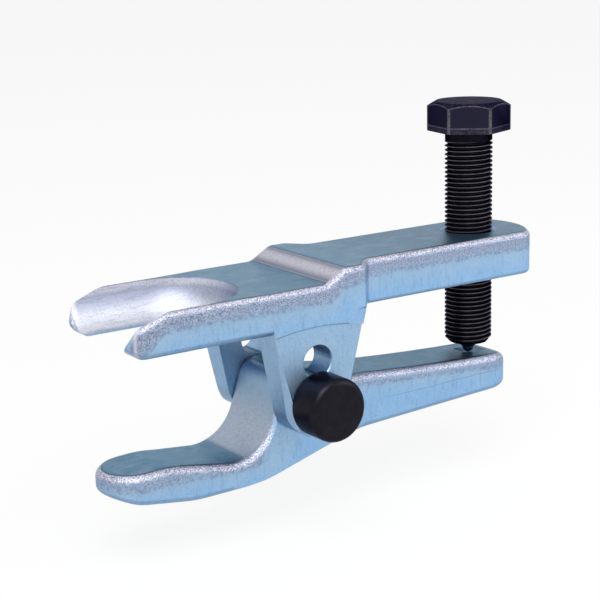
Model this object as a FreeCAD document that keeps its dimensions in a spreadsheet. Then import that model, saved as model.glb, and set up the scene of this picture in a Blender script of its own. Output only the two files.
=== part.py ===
import FreeCAD, Part
import math
import os
import Sketcher

# A ball joint separator: a forked forging and a hinged pressure lever, closed by a forcing screw.
# Millimetres. The origin is the middle of the empty upper pivot hole. X runs along the tool from
# the fork to the screw, Y is the pivot axis and Z is up, along the screw.

SIZES = {
    # pivot holes and pin
    "pivot_spacing": 13.0,
    "pin_radius": 5.0,
    "pin_clearance": 0.05,
    "hole_chamfer": 0.35,
    "knob_radius": 10.0,
    "knob_length": 11.2,
    "knob_rounding": 2.2,
    "knob_gap": 0.1,
    "pin_end_reach": 4.4,
    "pin_end_chamfer": 1.0,
    "groove_offset": 0.35,
    "groove_depth": 1.0,
    "groove_play": 0.2,
    "ring_wire_radius": 0.75,
    "ring_gap": 0.1,
    "ring_lift": 0.06,
    # rear arm and block
    "arm_top": 27.6,
    "arm_thickness": 14.5,
    "arm_half_width": 16.5,
    "arm_end_bulge": 4.1,
    "arm_end_round": 5.0,
    "screw_x": 78.6,
    "block_half_width": 22.7,
    "block_back_x": 18.4,
    "block_end_x": 11.5,
    "block_end_run": 3.0,
    "block_front_x": -15.5,
    "shoulder_slope": 0.84,
    "shoulder_outer_round": 3.5,
    "shoulder_inner_round": 3.5,
    "slope_top_x": 11.8,
    "slope_foot_x": 4.4,
    "slope_top_round": 4.0,
    "slope_foot_round": 5.0,
    "top_edge_round": 2.2,
    "arm_bottom_round": 1.5,
    # fork
    "fork_top": 23.4,
    "fork_bottom": 10.5,
    "fork_inset": 0.8,
    "fork_flank_x": -31.0,
    "fork_tip_x": -62.6,
    "fork_corner": 6.5,
    "nose_top_x": -50.5,
    "nose_front_x": -60.2,
    "nose_front_z": 19.6,
    "nose_point_z": 13.8,
    "nose_foot_x": -59.4,
    "nose_top_round": 12.0,
    "nose_front_round": 4.0,
    "nose_point_round": 2.6,
    "nose_foot_round": 3.5,
    "slot_half_width": 13.6,
    "dish_x": -37.4,
    "dish_radius": 20.3,
    "dish_land": 1.4,
    "dish_curve": 12.1,
    # cheeks
    "cheek_front_x": -16.2,
    "cheek_root": 1.0,
    "bevel_inset": 1.0,
    "bevel_lean": 0.28,
    "cheek_gap_half": 13.0,
    "cheek_end_radius": 10.8,
    "milling_depth": 0.4,
    "milling_radius": 80.0,
    "milling_rise": 11.0,
    "countersink_radius": 9.4,
    # forcing screw, a metric fine thread of 16 mm by 1.5 mm
    "thread_radius": 8.0,
    "thread_pitch": 1.5,
    "thread_depth": 0.92,
    "thread_clearance": 0.06,
    "screw_end_z": -11.3,
    "screw_length": 72.4,
    "neck_length": 2.6,
    "screw_end_chamfer": 1.6,
    "hex_across_flats": 24.0,
    "hex_height": 10.0,
    "hex_top_radius": 10.9,
    "hex_bevel_run": 6.0,
    "hex_bevel_drop": 3.4,
    "hex_angle": 20.6,
    # pressure tip in the screw's end
    "tip_radius": 3.3,
    "tip_stem_radius": 2.5,
    "tip_stem_length": 6.0,
    "tip_stem_play": 0.3,
    "tip_clearance": 0.05,
    "tip_nose_radius": 2.0,
    "tip_cone_height": 1.3,
    "tip_seat_gap": 0.12,
    # pressure lever
    "lever_web_half": 12.7,
    "sweep_half_width": 13.5,
    "lever_arm_half": 10.9,
    "lever_end_x": 91.2,
    "lever_end_top_z": -18.9,
    "lever_brow_x": 85.0,
    "lever_brow_z": -14.93,
    "lever_brow_round": 20.0,
    "lever_end_bottom_z": -26.6,
    "lever_taper_x": 26.0,
    "lever_web_x": 16.0,
    "arm_root_x": 11.0,
    "arm_root_z": -9.5,
    "arm_sag_radius": 920.0,
    "boss_back_x": 6.0,
    "boss_front_x": -5.75,
    "boss_clearance": 0.2,
    "sweep_foot_x": -14.6,
    "sweep_foot_z": -31.6,
    "jaw_neck_x": -21.0,
    "jaw_root_x": -41.0,
    "jaw_top_x": -46.0,
    "jaw_top_z": -27.0,
    "jaw_tip_x": -64.2,
    "jaw_tip_radius": 11.2,
    "jaw_tip_top_z": -27.8,
    "chin_z": -33.0,
    "belly_back_x": 17.0,
    "belly_back_z": -29.9,
    "belly_middle_x": -13.0,
    "belly_middle_z": -38.1,
    "belly_low_x": -38.0,
    "belly_low_z": -39.7,
    "belly_front_x": -56.5,
    "belly_front_z": -36.9,
    "sweep_foot_round": 14.8,
    "jaw_top_round": 40.0,
    "boss_front_round": 7.0,
    "boss_back_round": 6.0,
    "arm_root_round": 8.0,
    "belly_back_round": 40.0,
    "belly_middle_round": 40.0,
    "belly_low_round": 40.0,
    "belly_front_round": 20.0,
    "flank_round": 20.0,
    "lever_top_round": 2.8,
    "lever_bottom_round": 2.2,
    "web_front_x": -9.3,
    "web_front_z": -20.2,
    "web_foot_x": -25.5,
    "web_foot_z": -32.7,
    "web_foot_radius": 17.7,
    "seat_skin_z": -14.45,
    "seat_depth": 1.1,
    "seat_half_width": 3.4,
    "seat_front_run": 4.0,
    "seat_flat_run": 2.6,
    "seat_ramp_run": 7.6,
    "seat_ramp_rise": 1.2,
    "seat_ramp_radius": 14.0,
}


class Size:
    """A number together with the sheet formula that gives it."""

    def __init__(self, value, text=None):
        self.value = float(value)
        self.text = text if text is not None else repr(round(float(value), 6))

    def join(self, other, sign, value):
        other = other if isinstance(other, Size) else Size(other)
        return Size(value(self.value, other.value), f"({self.text} {sign} {other.text})")

    def __add__(self, other):
        return self.join(other, "+", lambda a, b: a + b)

    def __sub__(self, other):
        return self.join(other, "-", lambda a, b: a - b)

    def __mul__(self, other):
        return self.join(other, "*", lambda a, b: a * b)

    def __truediv__(self, other):
        return self.join(other, "/", lambda a, b: a / b)

    def __radd__(self, other):
        return Size(other) + self

    def __rsub__(self, other):
        return Size(other) - self

    def __rmul__(self, other):
        return Size(other) * self

    def __neg__(self):
        return Size(-1) * self


doc = FreeCAD.newDocument("ball_joint_separator")
sheet = doc.addObject("Spreadsheet::Sheet", "sizes")
for row, (name, number) in enumerate(SIZES.items(), start=1):
    sheet.set(f"A{row}", name)
    sheet.set(f"B{row}", str(number))
    sheet.setAlias(f"B{row}", name)
doc.recompute()
S = {name: Size(number, f"sizes.{name}") for name, number in SIZES.items()}


def size(item):
    return item if isinstance(item, Size) else Size(item)


def bind(thing, path, item):
    """Give a property its number and the formula that keeps it."""
    item = size(item)
    thing.setExpression(path, item.text)


def new_body(label):
    body = doc.addObject("PartDesign::Body", label)
    body.Label = label
    return body


def new_sketch(body, name, role, lift=0, shift_x=0):
    """A sketch on one of the body's origin planes, lifted along its normal."""
    sketch = body.newObject("Sketcher::SketchObject", name)
    plane = [item for item in body.Origin.OriginFeatures if item.Role == role][0]
    sketch.AttachmentSupport = [(plane, "")]
    sketch.MapMode = "FlatFace"
    bind(sketch, "AttachmentOffset.Base.z", lift)
    bind(sketch, "AttachmentOffset.Base.x", shift_x)
    doc.recompute()
    return sketch


def pin_point(sketch, geometry, point, place):
    """Hold a sketch point at sheet-driven coordinates."""
    for kind, item in (("DistanceX", size(place[0])), ("DistanceY", size(place[1]))):
        index = sketch.addConstraint(Sketcher.Constraint(kind, -1, 1, geometry, point, item.value))
        sketch.setExpression(f"Constraints[{index}]", item.text)


def outline(sketch, corners):
    """A closed outline. A corner is (x, y), or (x, y, radius) where an arc of that radius runs on
    to the next corner; a positive radius turns anticlockwise and a negative one clockwise."""
    first = sketch.GeometryCount
    count = len(corners)
    for index, corner in enumerate(corners):
        after = corners[(index + 1) % count]
        start = FreeCAD.Vector(size(corner[0]).value, size(corner[1]).value, 0)
        end = FreeCAD.Vector(size(after[0]).value, size(after[1]).value, 0)
        if len(corner) == 2:
            sketch.addGeometry(Part.LineSegment(start, end), False)
            continue
        radius = size(corner[2]).value
        chord = end - start
        middle = (start + end) * 0.5
        across = FreeCAD.Vector(-chord.y, chord.x, 0).normalize()
        rise = math.sqrt(max(radius ** 2 - (chord.Length / 2) ** 2, 0.0))
        centre = middle + across * (rise if radius > 0 else -rise)
        crown = middle - across * ((abs(radius) - rise) * (1 if radius > 0 else -1))
        arc = Part.Arc(start, crown, end)
        sketch.addGeometry(arc, False)
    for index, corner in enumerate(corners):
        here = first + index
        after = first + (index + 1) % count
        here_end = 2
        after_start = 1
        if len(corner) == 3 and size(corner[2]).value < 0:
            here_end = 1
        following = corners[(index + 1) % count]
        if len(following) == 3 and size(following[2]).value < 0:
            after_start = 2
        sketch.addConstraint(Sketcher.Constraint("Coincident", here, here_end, after, after_start))
    for index, corner in enumerate(corners):
        start_point = 1
        if len(corner) == 3 and size(corner[2]).value < 0:
            start_point = 2
        pin_point(sketch, first + index, start_point, corner)
        if len(corner) == 3:
            item = size(corner[2])
            radius = item if item.value > 0 else -item
            after = corners[(index + 1) % count]
            half_round = near(abs(size(corner[1]).value - size(after[1]).value), 2 * radius.value)
            if half_round:
                level = size(corner[0])
                row = sketch.addConstraint(
                    Sketcher.Constraint("DistanceX", -1, 1, first + index, 3, level.value))
                sketch.setExpression(f"Constraints[{row}]", level.text)
                continue
            row = sketch.addConstraint(Sketcher.Constraint("Radius", first + index, radius.value))
            sketch.setExpression(f"Constraints[{row}]", radius.text)


def disc(sketch, centre_x, centre_y, radius):
    """A circle held by its centre and radius."""
    centre = FreeCAD.Vector(size(centre_x).value, size(centre_y).value, 0)
    here = sketch.addGeometry(Part.Circle(centre, FreeCAD.Vector(0, 0, 1), size(radius).value), False)
    pin_point(sketch, here, 3, (centre_x, centre_y))
    row = sketch.addConstraint(Sketcher.Constraint("Radius", here, size(radius).value))
    sketch.setExpression(f"Constraints[{row}]", size(radius).text)


def root_of(item):
    """The square root of a size."""
    return Size(math.sqrt(item.value), f"sqrt({item.text})")


def finish_feature(body, feature, shrink):
    """Recompute, and check that the feature really adds or removes material."""
    before = feature.BaseFeature.Shape.Volume if feature.BaseFeature else 0.0
    doc.recompute()
    body.Tip = feature
    change = feature.Shape.Volume - before
    if (change > -0.01) if shrink else (change < 0.01):
        raise ValueError(f"{body.Label}: {feature.Name} changes the volume by {change:.3f}")
    return feature


def pad(body, sketch, length, reverse=False, symmetric=False):
    feature = body.newObject("PartDesign::Pad", f"{sketch.Name}_pad")
    feature.Profile = sketch
    feature.SideType = "Symmetric" if symmetric else "One side"
    feature.Reversed = reverse
    bind(feature, "Length", length)
    return finish_feature(body, feature, False)


def pocket(body, sketch, length, reverse=False, symmetric=False):
    feature = body.newObject("PartDesign::Pocket", f"{sketch.Name}_pocket")
    feature.Profile = sketch
    feature.SideType = "Symmetric" if symmetric else "One side"
    feature.Reversed = reverse
    bind(feature, "Length", length)
    return finish_feature(body, feature, True)


def turned(body, sketch, kind):
    """A full revolution or groove about the sketch's own vertical axis."""
    feature = body.newObject(f"PartDesign::{kind}", f"{sketch.Name}_{kind.lower()}")
    feature.Profile = sketch
    feature.ReferenceAxis = (sketch, ["V_Axis"])
    feature.Angle = 360
    return finish_feature(body, feature, kind == "Groove")


def round_edges(body, name, radius, wanted, kind="Fillet"):
    """Round or chamfer the edges that a test picks."""
    tip = body.Tip
    names = [f"Edge{number}" for number, edge in enumerate(tip.Shape.Edges, start=1) if wanted(edge)]
    if not names:
        raise ValueError(f"{body.Label}: {name} found no edges")
    feature = body.newObject(f"PartDesign::{kind}", name)
    feature.Base = (tip, names)
    bind(feature, "Radius" if kind == "Fillet" else "Size", radius)
    doc.recompute()
    if feature.State and ("Invalid" in feature.State or "Error" in feature.State):
        raise ValueError(f"{body.Label}: {name} failed on {names}")
    body.Tip = feature
    return feature


def middle_of(edge):
    low, high = edge.ParameterRange
    return edge.valueAt((low + high) / 2)


def near(value, target, within=0.05):
    return abs(value - target) < within


def runs_along(edge, axis):
    """A straight edge along one axis."""
    ends = [vertex.Point for vertex in edge.Vertexes]
    if len(ends) != 2 or edge.Curve.TypeId != "Part::GeomLine":
        return False
    step = (ends[1] - ends[0]).normalize()
    return near(abs(step.dot(axis)), 1, 1e-4)


ALONG_Y = FreeCAD.Vector(0, 1, 0)
ALONG_Z = FreeCAD.Vector(0, 0, 1)
FAR = 300.0
CHEEK_HALF = S["block_half_width"] - S["milling_depth"]
PIN_HOLE = S["pin_radius"] + S["pin_clearance"]
SEAT_FLOOR = S["seat_skin_z"] - S["seat_depth"]


def across_at(x, z, within=0.1):
    """Picks the straight edge that crosses the piece at one point of its side outline."""
    def wanted(edge):
        point = middle_of(edge)
        at_place = near(point.x, size(x).value, within) and near(point.z, size(z).value, within)
        return runs_along(edge, ALONG_Y) and at_place
    return wanted


def upright_at(x, y, within=0.1):
    """Picks the upright edges at one point of the plan outline, on both sides of the middle."""
    def wanted(edge):
        point = middle_of(edge)
        at_place = near(point.x, size(x).value, within) and near(abs(point.y), size(y).value, within)
        return runs_along(edge, ALONG_Z) and at_place
    return wanted


def plan_cut(body, name, corners):
    """Trim a body to a plan outline."""
    sketch = new_sketch(body, name, "XY_Plane")
    outline(sketch, [(-FAR, -FAR), (FAR, -FAR), (FAR, FAR), (-FAR, FAR)])
    outline(sketch, corners)
    return pocket(body, sketch, FAR, symmetric=True)


def top_rim(edge):
    """The outer rim of the top: rear arm, block, slope, fork and noses."""
    point = middle_of(edge)
    inside_bend = 0.7 * SIZES["arm_half_width"]
    past_screw = SIZES["screw_x"] + inside_bend
    one_sided = edge.BoundBox.YLength < 2 * inside_bend + 7
    on_side = one_sided and abs(point.y) > inside_bend or point.x > past_screw
    faces_up = edge.BoundBox.ZMin > SIZES["nose_point_z"] - 0.5
    return on_side and faces_up and on_upper_skin(edge)


def on_upper_skin(edge):
    """True where the edge lies on the top surface and isn't upright."""
    point = middle_of(edge)
    upright = runs_along(edge, ALONG_Z)
    low = SIZES["arm_top"] - SIZES["arm_thickness"] + 0.5
    return not upright and not runs_along(edge, ALONG_Y) and point.z > low


def arm_bottom_rim(edge):
    """The lower rim of the rear arm."""
    box = edge.BoundBox
    level = SIZES["arm_top"] - SIZES["arm_thickness"]
    flat = near(box.ZMin, level, 0.01) and near(box.ZMax, level, 0.01)
    behind_block = box.XMin > SIZES["block_end_x"] + 0.5 * SIZES["block_end_run"]
    return flat and behind_block and not runs_along(edge, ALONG_Y)


def hole_mouth(edge):
    """The pivot holes' edges on the outer cheek faces."""
    point = middle_of(edge)
    round_edge = edge.Curve.TypeId == "Part::GeomCircle"
    below_fork = point.z < SIZES["fork_bottom"] - SIZES["hole_chamfer"]
    return round_edge and near(abs(point.y), CHEEK_HALF.value, 0.01) and below_fork


def bevel_cheeks(body):
    """Cut each cheek's outer front corner along a leaning line, so that the bevel widens downwards."""
    start = S["cheek_front_x"] + S["bevel_inset"]
    margin = 2
    reach = 9
    for name, side in (("near_bevel", -1), ("far_bevel", 1)):
        outer = side * S["block_half_width"]
        sketch = new_sketch(body, name, "XY_Plane", S["fork_bottom"])
        outline(sketch, [
            (start + margin, outer + margin * side),
            (start - reach, outer - reach * side),
            (start - reach, outer + margin * side),
        ])
        feature = body.newObject("PartDesign::Pocket", f"{name}_pocket")
        feature.Profile = sketch
        feature.UseCustomVector = True
        feature.Direction = FreeCAD.Vector(SIZES["bevel_lean"], 0, -1)
        bind(feature, "Length", S["fork_bottom"] + S["pivot_spacing"] + 2 * S["cheek_end_radius"])
        finish_feature(body, feature, True)


def cheek_outline(sketch, left, right):
    """A cheek's side outline: straight flanks that run tangent onto a round end about the pivot."""
    radius = S["cheek_end_radius"]
    centre_z = -S["pivot_spacing"]
    ends = []
    for start, turn in ((left, 1), (right, -1)):
        away = FreeCAD.Vector(size(start[0]).value, size(start[1]).value - centre_z.value, 0)
        angle = math.atan2(away.y, away.x) + turn * math.acos(radius.value / away.Length)
        ends.append(FreeCAD.Vector(radius.value * math.cos(angle),
                                   centre_z.value + radius.value * math.sin(angle), 0))
    corner_left = FreeCAD.Vector(size(left[0]).value, size(left[1]).value, 0)
    corner_right = FreeCAD.Vector(size(right[0]).value, size(right[1]).value, 0)
    bottom = FreeCAD.Vector(0, centre_z.value - radius.value, 0)
    sketch.addGeometry([
        Part.LineSegment(corner_left, ends[0]),
        Part.Arc(ends[0], bottom, ends[1]),
        Part.LineSegment(ends[1], corner_right),
        Part.LineSegment(corner_right, corner_left),
    ], False)
    sketch.addConstraint([
        Sketcher.Constraint("Tangent", 0, 2, 1, 1),
        Sketcher.Constraint("Tangent", 1, 2, 2, 1),
        Sketcher.Constraint("Coincident", 2, 2, 3, 1),
        Sketcher.Constraint("Coincident", 3, 2, 0, 1),
    ])
    pin_point(sketch, 0, 1, left)
    pin_point(sketch, 3, 1, right)
    pin_point(sketch, 1, 3, (0, centre_z))
    row = sketch.addConstraint(Sketcher.Constraint("Radius", 1, radius.value))
    sketch.setExpression(f"Constraints[{row}]", radius.text)


def make_fork_arm():
    """The forging: fork, block, two cheeks and the threaded rear arm."""
    body = new_body("fork_arm")
    arm_bottom = S["arm_top"] - S["arm_thickness"]
    end_radius = S["arm_half_width"] + S["arm_end_bulge"]
    past_end = S["screw_x"] + end_radius + 5
    slope_top = (S["slope_top_x"], S["arm_top"])
    slope_foot = (S["slope_foot_x"], S["fork_top"])
    nose_top = (S["nose_top_x"], S["fork_top"])
    nose_front = (S["nose_front_x"], S["nose_front_z"])
    nose_point = (S["fork_tip_x"], S["nose_point_z"])
    nose_foot = (S["nose_foot_x"], S["fork_bottom"])
    side = new_sketch(body, "fork_side", "XZ_Plane")
    outline(side, [
        (past_end, arm_bottom), (past_end, S["arm_top"]), slope_top, slope_foot,
        nose_top, nose_front, nose_point, nose_foot,
        (S["block_end_x"], S["fork_bottom"]),
        (S["block_end_x"] + S["block_end_run"], arm_bottom),
    ])
    pad(body, side, 2 * S["block_half_width"], symmetric=True)
    for name, place in (
        ("slope_top_round", slope_top),
        ("slope_foot_round", slope_foot),
        ("nose_top_round", nose_top),
        ("nose_front_round", nose_front),
        ("nose_point_round", nose_point),
        ("nose_foot_round", nose_foot),
    ):
        round_edges(body, name, S[name], across_at(*place))

    end_reach = S["screw_x"] + root_of(end_radius * end_radius - S["arm_half_width"] * S["arm_half_width"])
    shoulder_x = S["block_back_x"] + (S["block_half_width"] - S["arm_half_width"]) * S["shoulder_slope"]
    fork_half = S["block_half_width"] - S["fork_inset"]
    plan_tip = S["fork_tip_x"] - 0.5
    corner_x = plan_tip + S["fork_corner"]
    corner_y = fork_half - S["fork_corner"]
    plan_cut(body, "fork_plan", [
        (end_reach, -S["arm_half_width"], end_radius),
        (end_reach, S["arm_half_width"]),
        (shoulder_x, S["arm_half_width"]),
        (S["block_back_x"], S["block_half_width"]),
        (S["block_front_x"], S["block_half_width"]),
        (S["fork_flank_x"], fork_half),
        (corner_x, fork_half, S["fork_corner"]),
        (plan_tip, corner_y),
        (plan_tip, -corner_y, S["fork_corner"]),
        (corner_x, -fork_half),
        (S["fork_flank_x"], -fork_half),
        (S["block_front_x"], -S["block_half_width"]),
        (S["block_back_x"], -S["block_half_width"]),
        (shoulder_x, -S["arm_half_width"]),
    ])
    outer_edge = upright_at(S["block_back_x"], S["block_half_width"])
    inner_edge = upright_at(shoulder_x, S["arm_half_width"])
    round_edges(body, "shoulder_outer_round", S["shoulder_outer_round"], outer_edge)
    round_edges(body, "shoulder_inner_round", S["shoulder_inner_round"], inner_edge)
    end_corner = upright_at(end_reach, S["arm_half_width"])
    round_edges(body, "arm_end_round", S["arm_end_round"], end_corner)
    round_edges(body, "top_edge_round", S["top_edge_round"], top_rim)
    round_edges(body, "arm_bottom_round", S["arm_bottom_round"], arm_bottom_rim)

    cheeks = new_sketch(body, "cheek_side", "XZ_Plane")
    cheek_root = arm_bottom + S["cheek_root"]
    cheek_outline(cheeks, (S["cheek_front_x"], cheek_root), (S["block_back_x"], cheek_root))
    pad(body, cheeks, 2 * S["block_half_width"], symmetric=True)
    bevel_cheeks(body)

    gap = new_sketch(body, "cheek_gap", "YZ_Plane")
    half = S["cheek_gap_half"]
    outline(gap, [(-half, -FAR), (half, -FAR), (half, S["fork_bottom"]), (-half, S["fork_bottom"])])
    pocket(body, gap, 2 * FAR, symmetric=True)

    for name, lift, outward in (("near_milling", CHEEK_HALF, False),
                                ("far_milling", -CHEEK_HALF, True)):
        milled = new_sketch(body, name, "XZ_Plane", lift)
        disc(milled, 0, S["milling_rise"] - S["milling_radius"], S["milling_radius"])
        pocket(body, milled, FAR, reverse=not outward)

    land_top = S["fork_bottom"] + S["dish_land"]
    under = S["fork_bottom"] - 4
    over = S["fork_top"] + 4
    half_dish = [
        (S["slot_half_width"], under),
        (S["slot_half_width"], land_top, S["dish_curve"]),
        (S["dish_radius"], S["fork_top"]),
        (S["dish_radius"], over),
    ]
    other_half = [
        (-S["dish_radius"], over),
        (-S["dish_radius"], S["fork_top"], S["dish_curve"]),
        (-S["slot_half_width"], land_top),
        (-S["slot_half_width"], under),
    ]
    dish = new_sketch(body, "dish_run", "YZ_Plane", S["dish_x"])
    outline(dish, half_dish + other_half)
    pocket(body, dish, FAR)
    dish_end = new_sketch(body, "dish_end", "XZ_Plane", 0, S["dish_x"])
    outline(dish_end, [(0, under), *half_dish, (0, over)])
    turned(body, dish_end, "Groove")

    bore = S["thread_radius"] + S["thread_clearance"]
    lip = S["countersink_radius"] - bore
    outside = S["countersink_radius"] + 1
    screw_hole = new_sketch(body, "screw_hole", "XZ_Plane", 0, S["screw_x"])
    outline(screw_hole, [
        (0, arm_bottom - 1), (outside, arm_bottom - 1), (bore, arm_bottom + lip),
        (bore, S["arm_top"] - lip), (outside, S["arm_top"] + 1), (0, S["arm_top"] + 1),
    ])
    turned(body, screw_hole, "Groove")

    holes = new_sketch(body, "pivot_holes", "XZ_Plane")
    disc(holes, 0, 0, PIN_HOLE)
    disc(holes, 0, -S["pivot_spacing"], PIN_HOLE)
    pocket(body, holes, 2 * FAR, symmetric=True)
    round_edges(body, "hole_mouth", S["hole_chamfer"], hole_mouth, "Chamfer")
    return body


def lever_rim(upper):
    """Picks the edges that run along the lever's upper or lower skin, beside its upright sides."""
    def wanted(edge):
        point = middle_of(edge)
        if runs_along(edge, ALONG_Z) or runs_along(edge, ALONG_Y):
            return False
        arm_middle = (SIZES["arm_root_z"] + SIZES["belly_back_z"]) / 2
        jaw_middle = SIZES["sweep_foot_z"]
        middle_line = arm_middle if point.x > SIZES["web_front_x"] else jaw_middle
        return point.z > middle_line if upper else point.z < middle_line
    return wanted


def make_pressure_lever():
    """The bent forging: a jaw, a sweep up to the pivot web, and a straight arm under the screw."""
    body = new_body("pressure_lever")
    boss_top = -S["pin_radius"] - S["boss_clearance"]
    jaw_top = (S["jaw_top_x"], S["jaw_top_z"])
    sweep_foot = (S["sweep_foot_x"], S["sweep_foot_z"])
    boss_front = (S["boss_front_x"], boss_top)
    boss_back = (S["boss_back_x"], boss_top)
    arm_root = (S["arm_root_x"], S["arm_root_z"])
    lever_brow = (S["lever_brow_x"], S["lever_brow_z"])
    belly_back = (S["belly_back_x"], S["belly_back_z"])
    belly_middle = (S["belly_middle_x"], S["belly_middle_z"])
    belly_low = (S["belly_low_x"], S["belly_low_z"])
    belly_front = (S["belly_front_x"], S["belly_front_z"])
    before_tip = S["jaw_tip_x"] - 3
    past_end = S["lever_end_x"] + 4
    side = new_sketch(body, "lever_side", "XZ_Plane")
    outline(side, [
        (before_tip, S["jaw_tip_top_z"]), (before_tip, S["chin_z"]),
        belly_front, belly_low, belly_middle, belly_back,
        (past_end, S["lever_end_bottom_z"]), (past_end, S["lever_end_top_z"]),
        (*lever_brow, -S["arm_sag_radius"]),
        arm_root, boss_back, boss_front, sweep_foot, jaw_top,
    ])
    pad(body, side, 2 * S["sweep_half_width"] + 2, symmetric=True)
    for name, place in (
        ("sweep_foot_round", sweep_foot),
        ("jaw_top_round", jaw_top),
        ("boss_front_round", boss_front),
        ("boss_back_round", boss_back),
        ("arm_root_round", arm_root),
        ("lever_brow_round", lever_brow),
        ("belly_back_round", belly_back),
        ("belly_middle_round", belly_middle),
        ("belly_low_round", belly_low),
        ("belly_front_round", belly_front),
    ):
        round_edges(body, name, S[name], across_at(*place))

    tip_centre = S["jaw_tip_x"] + S["jaw_tip_radius"]
    end_centre = S["lever_end_x"] - S["lever_arm_half"]
    web = S["sweep_half_width"]
    corners = [
        (S["lever_taper_x"], S["lever_arm_half"]), (S["lever_web_x"], web),
        (S["jaw_neck_x"], web), (S["jaw_root_x"], S["jaw_tip_radius"]),
    ]
    plan_cut(body, "lever_plan", [
        (end_centre, S["lever_arm_half"]), *corners,
        (tip_centre, S["jaw_tip_radius"], S["jaw_tip_radius"]), (tip_centre, -S["jaw_tip_radius"]),
        *[(x, -y) for x, y in reversed(corners)],
        (end_centre, -S["lever_arm_half"], S["lever_arm_half"]),
    ])
    picks = [upright_at(*corner) for corner in corners]
    round_edges(body, "flank_round", S["flank_round"], lambda edge: any(pick(edge) for pick in picks))
    round_edges(body, "top_rim_round", S["lever_top_round"], lever_rim(True))
    round_edges(body, "bottom_rim_round", S["lever_bottom_round"], lever_rim(False))

    above = boss_top + 7
    below = S["belly_low_z"] - 6
    for name, lift, reverse in (("near_web_face", S["lever_web_half"], True),
                                ("far_web_face", -S["lever_web_half"], False)):
        face = new_sketch(body, name, "XZ_Plane", lift)
        outline(face, [
            (S["web_front_x"], S["web_front_z"]), (S["web_front_x"], above),
            (S["lever_taper_x"] - 1, above), (S["lever_taper_x"] - 1, below), (S["web_foot_x"], below),
            (S["web_foot_x"], S["web_foot_z"], S["web_foot_radius"]),
        ])
        pocket(body, face, FAR, reverse=reverse)

    pivot = new_sketch(body, "lever_pivot", "XZ_Plane")
    disc(pivot, 0, -S["pivot_spacing"], PIN_HOLE)
    pocket(body, pivot, 2 * FAR, symmetric=True)

    open_z = SEAT_FLOOR + 4
    flat_start = S["screw_x"] - S["seat_front_run"]
    ramp_end = S["screw_x"] + S["seat_ramp_run"]
    seat = new_sketch(body, "screw_seat", "XZ_Plane")
    outline(seat, [
        (flat_start, open_z), (flat_start, SEAT_FLOOR),
        (S["screw_x"] + S["seat_flat_run"], SEAT_FLOOR, S["seat_ramp_radius"]),
        (ramp_end, SEAT_FLOOR + S["seat_ramp_rise"]), (ramp_end, open_z),
    ])
    pocket(body, seat, 2 * S["seat_half_width"], symmetric=True)
    return body


def make_forcing_screw():
    """The hexagon-headed forcing screw, its thread cut as close rings."""
    body = new_body("forcing_screw")
    end = S["screw_end_z"]
    top = end + S["screw_length"]
    root = S["thread_radius"] - S["thread_depth"]
    chamfer = S["screw_end_chamfer"]
    bore = S["tip_stem_radius"] + S["tip_clearance"]
    stem_hole_top = end + S["tip_stem_length"] + S["tip_stem_play"]
    shank = new_sketch(body, "shank", "XZ_Plane", 0, S["screw_x"])
    outline(shank, [
        (0, stem_hole_top), (bore, stem_hole_top), (bore, end), (S["thread_radius"] - chamfer, end),
        (S["thread_radius"], end + chamfer), (S["thread_radius"], top + 1), (0, top + 1),
    ])
    turned(body, shank, "Revolution")

    ring = new_sketch(body, "thread_ring", "XZ_Plane", 0, S["screw_x"])
    pitch = S["thread_pitch"]
    first = end + chamfer - 0.2
    crest = pitch / 8
    flat = pitch / 8
    outline(ring, [
        (S["thread_radius"] + 0.3, first), (S["thread_radius"], first),
        (root, first + pitch / 2 - crest / 2 - flat / 2), (root, first + pitch / 2 + flat / 2),
        (S["thread_radius"], first + pitch - crest), (S["thread_radius"] + 0.3, first + pitch - crest),
    ])
    groove = turned(body, ring, "Groove")
    count = int((SIZES["screw_length"] - SIZES["neck_length"] - SIZES["screw_end_chamfer"])
                / SIZES["thread_pitch"])
    pattern = body.newObject("PartDesign::LinearPattern", "thread_rings")
    pattern.Originals = [groove]
    pattern.Direction = (ring, ["V_Axis"])
    pattern.Mode = "Spacing"
    bind(pattern, "Offset", pitch)
    pattern.Occurrences = count
    doc.recompute()
    body.Tip = pattern

    head = new_sketch(body, "hex_head", "XY_Plane", top)
    corner = S["hex_across_flats"] / math.sqrt(3)
    points = []
    for number in range(6):
        angle = math.radians(SIZES["hex_angle"] + 60 * number)
        points.append((S["screw_x"] + corner * math.cos(angle), corner * math.sin(angle)))
    outline(head, points)
    pad(body, head, S["hex_height"])
    crown = new_sketch(body, "hex_chamfer", "XZ_Plane", 0, S["screw_x"])
    rim_top = top + S["hex_height"]
    bevel_end = S["hex_top_radius"] + S["hex_bevel_run"]
    outline(crown, [
        (S["hex_top_radius"], rim_top), (bevel_end, rim_top - S["hex_bevel_drop"]),
        (bevel_end, rim_top + 1), (S["hex_top_radius"], rim_top + 1),
    ])
    turned(body, crown, "Groove")
    return body


def make_pressure_tip():
    """The hardened tip: a stem in the screw's end, a collar and a rounded nose on the lever."""
    body = new_body("pressure_tip")
    end = S["screw_end_z"] - S["tip_clearance"]
    nose = S["tip_nose_radius"]
    contact = SEAT_FLOOR + S["tip_seat_gap"]
    side = new_sketch(body, "tip_side", "XZ_Plane", 0, S["screw_x"])
    outline(side, [
        (0, contact, nose), (nose, contact + nose), (S["tip_radius"], contact + nose + S["tip_cone_height"]),
        (S["tip_radius"], end), (S["tip_stem_radius"], end),
        (S["tip_stem_radius"], end + S["tip_stem_length"]), (0, end + S["tip_stem_length"]),
    ])
    turned(body, side, "Revolution")
    return body


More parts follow.
